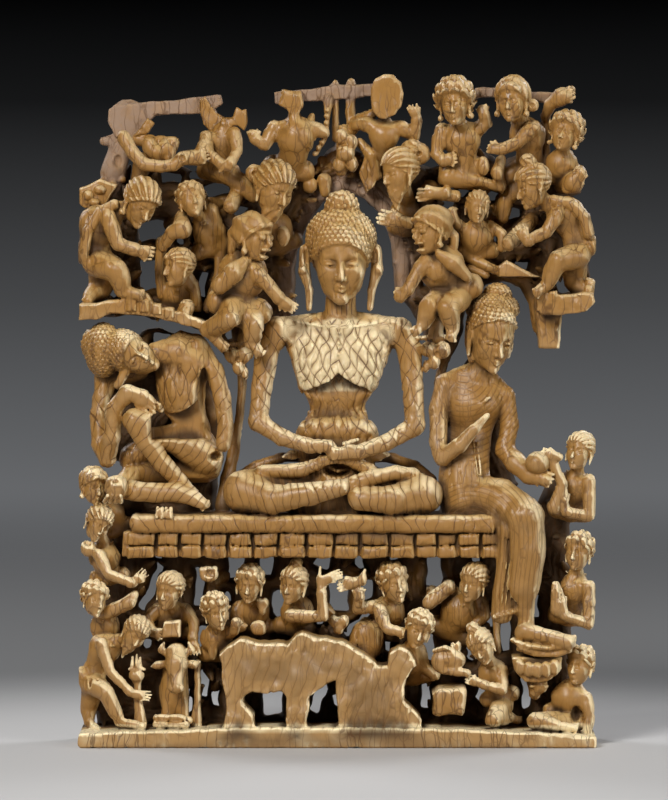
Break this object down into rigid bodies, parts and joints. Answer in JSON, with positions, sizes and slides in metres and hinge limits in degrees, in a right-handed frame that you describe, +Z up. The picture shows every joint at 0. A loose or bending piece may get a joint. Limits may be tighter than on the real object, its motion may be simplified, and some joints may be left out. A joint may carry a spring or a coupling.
{
  "type": "ivory carving",
  "caption": "Openwork ivory relief with a flat back: a fasting ascetic seated under an arch, with attendants, trees, a long seat and a crowd below.",
  "frame": {"origin": "centre of the underside of the base", "axes": "+Z up, +X to the right of someone who faces the carving, the flat back at +Y"},
  "size_m": [0.0956, 0.0226, 0.124],
  "materials": {
    "ivory": "old carved ivory, softly polished, cream to amber with dark recesses and fine cracks"
  },
  "bodies": {
    "root": {"ivory_relief": "ivory"}
  },
  "joints": []
}
